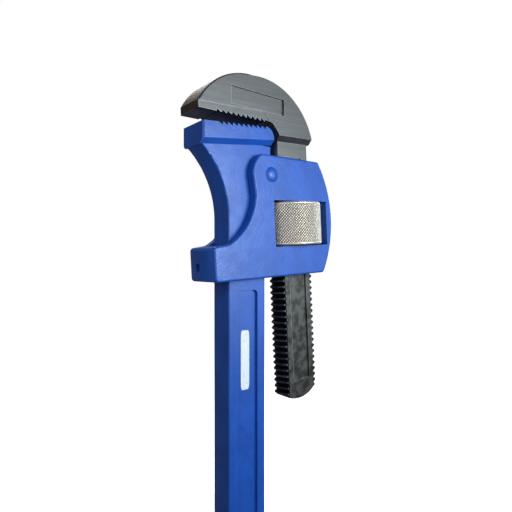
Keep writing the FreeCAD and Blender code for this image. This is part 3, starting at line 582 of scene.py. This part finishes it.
@dataclass
class KnurledNut:
    """Adjusting nut with a diamond knurl between two plain rims and a thread inside.

    Attributes:
        axis: line that the nut turns about.
        radius: outside of the knurl.
        height: height of the nut.
        rim: plain rim above and below the knurl.
        bevel: bevel of the two outer corners.
        relief: depth of the plain rim below the knurl's crests.
        diamonds: crests round the nut.
        tiers: crests up the nut.
        depth: depth of the knurl's grooves.
        flat_share: share of a crest's height at which it is cut flat.
        samples: grid steps in one crest.
        columns: grid steps round the nut.
        thread_pitch: pitch of the inner thread.
        thread_minor: radius at the inner thread's crests.
        thread_major: radius at its roots.
        thread_root: half width of a root.
        thread_crest: half width from one root's middle to the next crest.
        thread_start: height of a root's middle at angle zero.
        thread_rows: grid steps up the bore.
    """

    axis: ShankAxis
    radius: float
    height: float
    rim: float = 0.4
    bevel: float = 0.8
    relief: float = 0.10
    diamonds: int = 76
    tiers: int = 13
    depth: float = 0.42
    flat_share: float = 0.52
    samples: int = 6
    thread_pitch: float = 3.6
    thread_minor: float = 12.07
    thread_major: float = 13.52
    thread_root: float = 0.42
    thread_crest: float = 1.67
    thread_start: float = 0.3
    thread_rows: int = 70
    crest_name = "crest_height"

    @classmethod
    def from_frame(cls, axis: ShankAxis) -> "KnurledNut":
        """Take the nut's radius and height from its CAD node."""
        lowest, highest = axis.span("adjusting_nut")
        return cls(axis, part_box("adjusting_nut")[1].y / MM, highest - lowest)

    @property
    def columns(self) -> int:
        """Grid steps round the nut, so that every crest has the same steps."""
        return self.diamonds * self.samples

    def knurl(self, angle: np.ndarray, share: np.ndarray) -> np.ndarray:
        """Work out the height of the knurl.

        Two families of V grooves wind round at opposite slopes. Each family's height is a
        triangle wave of the angle's share of a crest plus or minus the height's share, and the
        knurl is the lower of the two, cut flat near its tips.

        Args:
            angle: angles round the nut, in radians.
            share: place up the knurl, from zero to one.

        Returns:
            Heights from zero in a groove to one on a crest.
        """
        turn = angle * self.diamonds / (2 * np.pi)
        climb = share * self.tiers
        waves = [1 - np.abs(2 * np.mod(turn + way * climb, 1.0) - 1) for way in (1, -1)]
        return np.minimum(np.minimum(*waves), self.flat_share) / self.flat_share

    def bore_radius(self, angle: np.ndarray, height: np.ndarray) -> np.ndarray:
        """Work out the radius of the threaded bore.

        The distance from the nearest root's middle is taken along the height, after taking away
        the rise of a right-hand helix at that angle. The radius falls in a straight line from
        the roots to the crests between.

        Args:
            angle: angles round the bore, in radians.
            height: heights above the nut's middle, in mm.

        Returns:
            Radii in mm.
        """
        rise = self.thread_start + self.thread_pitch * angle / (2 * np.pi)
        turns = np.mod((height - rise) / self.thread_pitch + 0.5, 1.0) - 0.5
        away = np.abs(turns) * self.thread_pitch
        return np.interp(away, [self.thread_root, self.thread_crest],
                         [self.thread_major, self.thread_minor])

    def grid(self) -> tuple[np.ndarray, np.ndarray]:
        """Run a closed profile up the bore, out over the top, down the knurl and back below.

        Returns:
            Places in metres, rows by columns by three, and the crest height of each.
        """
        half = self.height / 2
        plain = self.radius - self.relief
        low, high = -half + self.bevel + self.rim, half - self.bevel - self.rim
        share = np.linspace(1, 0, self.tiers * self.samples + 1)
        bore = np.linspace(-half, half, self.thread_rows)
        lip = [(self.thread_major + 0.5, half), ((self.thread_major + plain) / 2, half),
               (plain - self.bevel, half), (plain, half - self.bevel), (plain, high + 0.1)]
        foot = [(radius, -height) for radius, height in reversed(lip)]
        radii = np.concatenate([np.zeros(len(bore)), [r for r, _ in lip],
                                np.full(len(share), self.radius), [r for r, _ in foot]])
        heights = np.concatenate([bore, [z for _, z in lip], low + share * (high - low),
                                  [z for _, z in foot]])
        angles = np.arange(self.columns) * 2 * np.pi / self.columns
        angle, radius = np.meshgrid(angles, radii)
        height = np.repeat(heights[:, None], self.columns, axis=1)
        crest = np.ones_like(radius)
        inside = slice(0, len(bore))
        knurled = slice(len(bore) + len(lip), len(bore) + len(lip) + len(share))
        radius[inside] = self.bore_radius(angle[inside], height[inside])
        crest[knurled] = self.knurl(angle[knurled], share[:, None])
        radius[knurled] -= self.depth * (1 - crest[knurled])
        return self.axis.place(radius, angle, height), crest

    def build(self, coat: bpy.types.Material) -> bpy.types.Object:
        """Make the nut, store its crest heights and let it stand for the CAD node.

        Args:
            coat: material of the nut.

        Returns:
            The finished piece.
        """
        places, crest = self.grid()
        piece = surface("knurled_nut", places, rows_close=True)
        stored = piece.data.attributes.new(self.crest_name, "FLOAT", "POINT")
        stored.data.foreach_set("value", crest.ravel().astype(np.float32))
        dress(piece, coat)
        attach(piece, "nut")
        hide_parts("adjusting_nut")
        log.info("knurled_nut: %d faces in %s", len(piece.data.polygons), coat.name)
        return piece


@dataclass
class HandleStripe:
    """Plain white stripe printed in the handle's sunk panel.

    Attributes:
        half_width: half the stripe's width, across the handle.
        half_length: half its length, up the handle.
        film: thickness that stands off the panel's floor.
        middle: place of its middle above the hanging hole.
        aside: place of its middle before the bar's centre line.
        floor_depth: depth of the panel below the bar's side.
        bar_half: half the bar's thickness.
        squareness: power that makes the outline squarer than an ellipse.
    """

    half_width: float = 2.9
    half_length: float = 16.5
    film: float = 0.12
    middle: float = 123.0
    aside: float = 0.4
    floor_depth: float = 1.8
    bar_half: float = 7.5
    squareness: float = 8.0
    columns: int = 96

    def build(self, coat: bpy.types.Material) -> bpy.types.Object:
        """Make the stripe as a low pillow with a squared-off oval outline.

        Each ring is a superellipse: cosine and sine of the angle, each to the power of two over
        the squareness. The rings rise from the floor, a little smaller as they near the top.

        Args:
            coat: material of the stripe.

        Returns:
            The finished piece.
        """
        angle = np.arange(self.columns) * 2 * np.pi / self.columns
        power = 2 / self.squareness
        oval = [np.sign(wave) * np.abs(wave) ** power for wave in (np.cos(angle), np.sin(angle))]
        inset = np.array([0.0, 0.0, 0.10, 0.30])[:, None]
        lift = np.array([-0.05, 0.5, 0.85, 1.0])[:, None] * self.film
        floor = -(self.bar_half - self.floor_depth)
        x = -self.aside + oval[0] * (self.half_width - inset)
        z = self.middle + oval[1] * (self.half_length - inset)
        y = np.broadcast_to(floor - lift, x.shape)
        piece = surface("handle_stripe", np.stack([x, y, z], axis=-1) * MM, rows_close=False)
        dress(piece, coat)
        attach(piece, "handle")
        log.info("handle_stripe in %s", coat.name)
        return piece


@dataclass
class SoftLight:
    """A square soft light that the camera doesn't see.

    Attributes:
        name: name of the light.
        away: place of the light from the point it faces, in mm.
        side: length of its side.
        watts: its power.
        tint: its colour.
    """

    name: str
    away: tuple[float, float, float]
    side: float
    watts: float
    tint: str = "#FFFFFF"

    def build(self, target: Vector) -> None:
        """Hang the light and turn it to its target.

        Args:
            target: the point it faces, in metres.
        """
        lamp = bpy.data.lights.new(self.name, "AREA")
        lamp.shape = "SQUARE"
        lamp.size = self.side * MM
        lamp.energy = self.watts
        lamp.color = linear(self.tint)[:3]
        held = bpy.data.objects.new(self.name, lamp)
        away = Vector(self.away) * MM
        turn = away.to_track_quat("Z", "Y").to_matrix().to_4x4()
        held.matrix_world = Matrix.Translation(target + away) @ turn
        held.visible_camera = False
        bpy.context.scene.collection.objects.link(held)


@dataclass
class Studio:
    """White studio: floor, soft lights, world and camera.

    Attributes:
        azimuth: turn of the camera round the wrench from straight in front of its flat side.
        distance: camera from the middle of the wrench.
        rise: camera above the middle of the wrench.
        aside: camera to the right of the middle.
        lens: focal length on a full-frame sensor.
        lift: share of the frame by which the horizon is lowered.
        floor_half: half the side of the floor.
        ambient: brightness of the world for everything but the camera.
        overhead: strength of the soft sun over the floor.
    """

    azimuth: float = -38.0
    distance: float = 266.9
    rise: float = 45.4
    aside: float = -2.4
    lens: float = 31.99
    lift: float = 0.0117
    floor_half: float = 9000.0
    ambient: float = 0.10
    overhead: float = 3.7

    def build(self) -> None:
        """Make the whole studio round the frame's box."""
        low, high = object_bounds()
        middle = (low + high) / 2
        laid = self.floor(low.z)
        self.world()
        self.sun(laid)
        head = Vector((middle.x, middle.y, high.z - 0.06))
        for light in (
            SoftLight("key_softbox", (270.0, -340.0, -30.0), 300.0, 0.42, "#D8F0FC"),
            SoftLight("front_lamp", (90.0, -360.0, 30.0), 200.0, 1.5, "#E4F4FC"),
            SoftLight("side_fill", (-330.0, -180.0, 40.0), 240.0, 0.42),
            SoftLight("rear_lamp", (80.0, 220.0, 400.0), 260.0, 1.6),
            SoftLight("back_strip", (420.0, 120.0, 60.0), 220.0, 1.1),
        ):
            light.build(head)
        self.camera(middle)
        log.info("studio ready")

    def floor(self, level: float) -> bpy.types.Object:
        """Lay the floor under the wrench, lit but throwing no light back up at it.

        Args:
            level: height of the floor, in metres.

        Returns:
            The floor.
        """
        edge = self.floor_half * MM
        corners = [(-edge, -edge, level), (edge, -edge, level), (edge, edge, level),
                   (-edge, edge, level)]
        mesh = bpy.data.meshes.new("studio_floor")
        mesh.from_pydata(corners, [], [(0, 1, 2, 3)])
        laid = bpy.data.objects.new("studio_floor", mesh)
        bpy.context.scene.collection.objects.link(laid)
        dress(laid, MattPaint().material())
        laid.visible_diffuse = False
        laid.visible_glossy = False
        laid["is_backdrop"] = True
        return laid

    def world(self) -> None:
        """Show the camera white, and light everything else with a dim even sky."""
        sky = bpy.data.worlds.new("white_studio")
        bpy.context.scene.world = sky
        sky.use_nodes = True
        tree = sky.node_tree
        tree.nodes.clear()
        path = add(tree, "ShaderNodeLightPath")
        strength = add(tree, "ShaderNodeMapRange",
                       {"Value": path.outputs["Is Camera Ray"], "To Min": self.ambient,
                        "To Max": 1.0})
        back = add(tree, "ShaderNodeBackground",
                   {"Color": (1.0, 1.0, 1.0, 1.0), "Strength": strength.outputs["Result"]})
        add(tree, "ShaderNodeOutputWorld", {"Surface": back.outputs["Background"]})

    def sun(self, laid: bpy.types.Object) -> None:
        """Hang a broad overhead sun that lights the floor alone.

        Args:
            laid: the floor.
        """
        lamp = bpy.data.lights.new("overhead_sun", "SUN")
        lamp.energy = self.overhead
        lamp.angle = math.radians(40)
        held = bpy.data.objects.new("overhead_sun", lamp)
        lit = bpy.data.collections.new("floor_only")
        lit.objects.link(laid)
        held.light_linking.receiver_collection = lit
        bpy.context.scene.collection.objects.link(held)

    def camera(self, middle: Vector) -> None:
        """Set the level camera beside the jaws.

        Args:
            middle: middle of the wrench, in metres.
        """
        turn = math.radians(self.azimuth)
        forward = Vector((-math.sin(turn), math.cos(turn), 0.0))
        right = Vector((math.cos(turn), math.sin(turn), 0.0))
        eye = (middle - forward * self.distance * MM + right * self.aside * MM
               + Vector((0.0, 0.0, self.rise * MM)))
        lens = bpy.data.cameras.new("studio_camera")
        lens.sensor_width = 36.0
        lens.lens = self.lens
        lens.shift_y = self.lift
        lens.clip_start = 0.01
        held = bpy.data.objects.new("studio_camera", lens)
        turned = forward.to_track_quat("-Z", "Y").to_matrix().to_4x4()
        held.matrix_world = Matrix.Translation(eye) @ turned
        bpy.context.scene.collection.objects.link(held)
        bpy.context.scene.camera = held


@dataclass
class PipeWrench:
    """The whole wrench: dressed CAD nodes and the pieces made here."""

    axis: ShankAxis

    def build(self) -> None:
        """Dress every CAD node and build the nut and the stripe."""
        on_forging = GlossEnamel("alkyd_gloss_enamel_dipped_on_forging", 1.5, 0.10, 0.20)
        on_casting = GlossEnamel("alkyd_gloss_enamel_dipped_on_casting", 1.2, 0.15, 0.0)
        steel = ForgedSteel(self.axis).material()
        spring = RolledSteel("spring_steel_rolled_blued", "#4C525C", "#2A2E36", 0.36,
                             (0.3, 0.3, 8.0)).material()
        rivet = RolledSteel("mild_steel_wire_headed", "#4C4E52", "#303236", 0.42,
                            (4.0, 0.3, 0.3)).material()
        dress_nodes(["handle_bar"], on_forging.material())
        dress_nodes(["housing", "pivot_rivet"], on_casting.material())
        dress_nodes(["hook_jaw"], steel)
        dress_nodes(["front_spring", "back_spring"], spring)
        dress_nodes(["front_spring_pin", "back_spring_pin"], rivet)
        KnurledNut.from_frame(self.axis).build(SatinNickel().material())
        HandleStripe().build(PrintedWhite().material())


def main() -> None:
    """Build the wrench and its studio."""
    logging.basicConfig(level=logging.INFO, format="%(name)s: %(message)s")
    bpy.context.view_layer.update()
    bpy.context.scene.view_settings.view_transform = "Standard"
    PipeWrench(ShankAxis.from_joint("nut_spin")).build()
    Studio().build()


if __name__ == "__main__":
    main()
